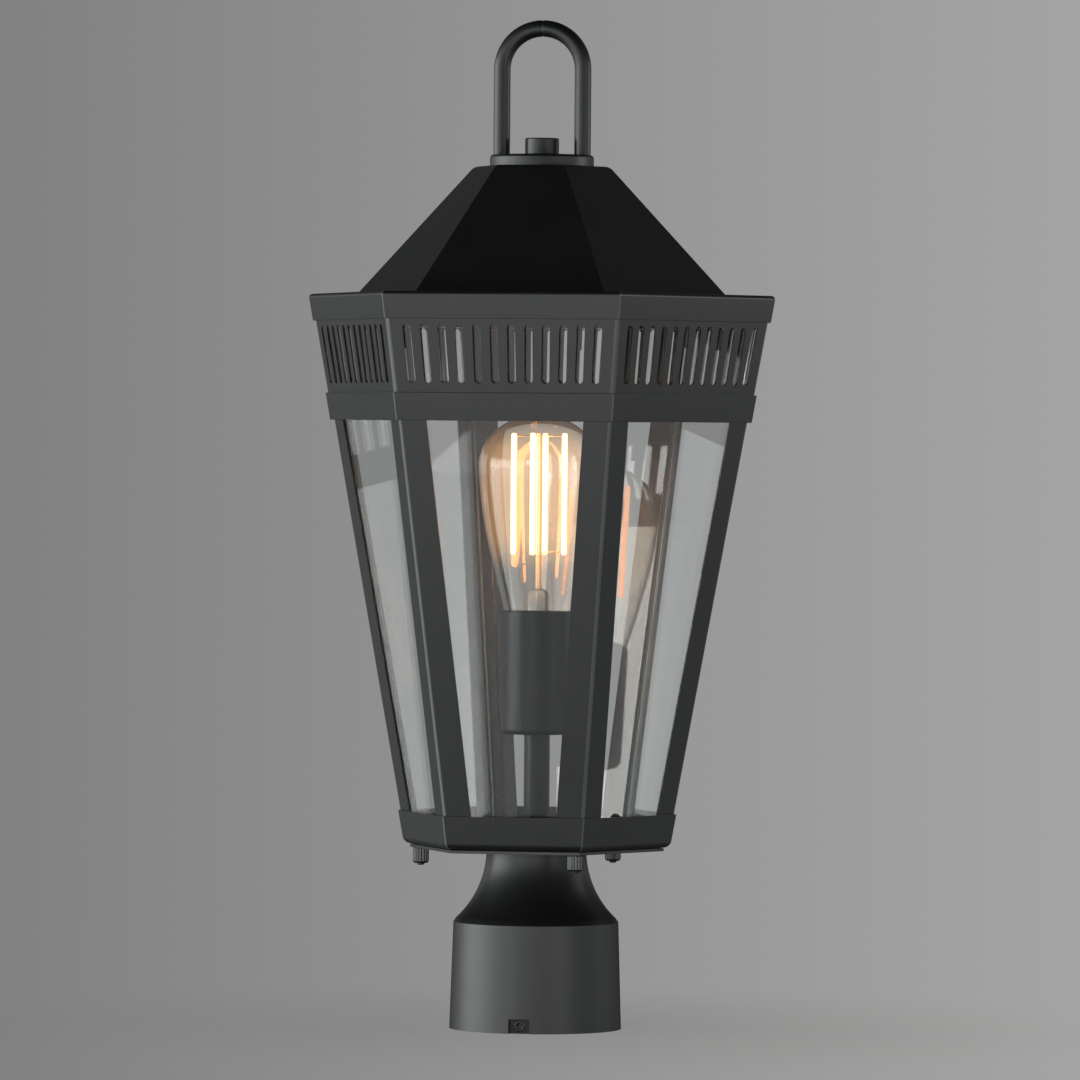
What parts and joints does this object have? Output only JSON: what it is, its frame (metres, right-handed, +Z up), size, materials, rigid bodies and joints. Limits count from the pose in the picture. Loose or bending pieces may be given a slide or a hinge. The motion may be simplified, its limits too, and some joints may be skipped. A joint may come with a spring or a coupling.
{
  "type": "post top lantern",
  "caption": "Six-sided flared glass lantern with a pierced vent gallery, pyramid roof and carrying loop, on a round post fitter.",
  "frame": {"origin": "centre of the post fitter's rim, on the plane it would stand on", "axes": "+Z up to the carrying loop; -Y out through the middle of the front pane; +X through a corner"},
  "size_m": [0.2512, 0.2174, 0.5334],
  "materials": {
    "charcoal_paint": "satin charcoal black",
    "zinc": "zinc plated",
    "blackened_steel": "blackened",
    "dark_nickel": "dark nickel",
    "nickel": "nickel plated",
    "brass": "plain brass",
    "porcelain": "glazed white",
    "clear_glass": "clear",
    "bulb_glass": "clear",
    "dark_glass": "black glass",
    "filament": "glowing"
  },
  "bodies": {
    "base": {"post_fitter": "charcoal_paint", "base_plate": "charcoal_paint", "stem_sleeve": "charcoal_paint", "threaded_nipple": "zinc", "nipple_washer": "zinc", "nipple_nut": "zinc", "socket_nut": "zinc", "socket_cup": "charcoal_paint", "socket_body": "porcelain", "screw_shell": "brass", "centre_contact": "brass"},
    "cage": {"tray": "charcoal_paint", "cage_studs": "blackened_steel", "glass_clips": "charcoal_paint", "lower_band": "charcoal_paint", "roof_rim": "charcoal_paint", "roof_shell": "charcoal_paint", "loop_plate": "charcoal_paint", "hanging_loop": "charcoal_paint", "finial_stud": "zinc", "roof_washer": "zinc", "roof_nut": "zinc", "corner_post_1": "charcoal_paint", "glass_pane_1": "clear_glass", "vent_panel_1": "charcoal_paint", "corner_post_2": "charcoal_paint", "glass_pane_2": "clear_glass", "vent_panel_2": "charcoal_paint", "corner_post_3": "charcoal_paint", "glass_pane_3": "clear_glass", "vent_panel_3": "charcoal_paint", "corner_post_4": "charcoal_paint", "glass_pane_4": "clear_glass", "vent_panel_4": "charcoal_paint", "corner_post_5": "charcoal_paint", "glass_pane_5": "clear_glass", "vent_panel_5": "charcoal_paint", "corner_post_6": "charcoal_paint", "glass_pane_6": "clear_glass", "vent_panel_6": "charcoal_paint"},
    "bulb": {"bulb_glass": "bulb_glass", "bulb_cap": "nickel", "bulb_insulator": "dark_glass", "bulb_tip": "nickel", "bulb_stalk": "bulb_glass", "bulb_filaments": "filament", "bulb_wires": "nickel"},
    "finial_nut": {"finial_nut": "charcoal_paint"},
    "thumb_nut_1": {"thumb_nut_1": "dark_nickel"},
    "set_screw_1": {"set_screw_1": "blackened_steel"},
    "thumb_nut_2": {"thumb_nut_2": "dark_nickel"},
    "set_screw_2": {"set_screw_2": "blackened_steel"},
    "thumb_nut_3": {"thumb_nut_3": "dark_nickel"},
    "set_screw_3": {"set_screw_3": "blackened_steel"}
  },
  "joints": [
    {"name": "cage_lift", "type": "slide", "parent": "base", "child": "cage", "axis": [0, 0, 1], "range_m": [0, 0.26]},
    {"name": "bulb_lift", "type": "slide", "parent": "base", "child": "bulb", "axis": [0, 0, 1], "range_m": [0, 0.04]},
    {"name": "finial_nut_turn", "type": "hinge", "parent": "cage", "child": "finial_nut", "pos_m": [0, 0, 0.4665], "axis": [0, 0, 1], "continuous": true},
    {"name": "thumb_nut_1_turn", "type": "hinge", "parent": "base", "child": "thumb_nut_1", "pos_m": [-0.0625, 0, 0.0905], "axis": [0, 0, 1], "continuous": true},
    {"name": "thumb_nut_2_turn", "type": "hinge", "parent": "base", "child": "thumb_nut_2", "pos_m": [0.03125, -0.05413, 0.0905], "axis": [0, 0, 1], "continuous": true},
    {"name": "thumb_nut_3_turn", "type": "hinge", "parent": "base", "child": "thumb_nut_3", "pos_m": [0.03125, 0.05413, 0.0905], "axis": [0, 0, 1], "continuous": true},
    {"name": "set_screw_1_travel", "type": "slide", "parent": "base", "child": "set_screw_1", "axis": [0, 1, 0], "range_m": [0, 0.003]},
    {"name": "set_screw_2_travel", "type": "slide", "parent": "base", "child": "set_screw_2", "axis": [-0.866, -0.5, 0], "range_m": [0, 0.003]},
    {"name": "set_screw_3_travel", "type": "slide", "parent": "base", "child": "set_screw_3", "axis": [0.866, -0.5, 0], "range_m": [0, 0.003]}
  ]
}
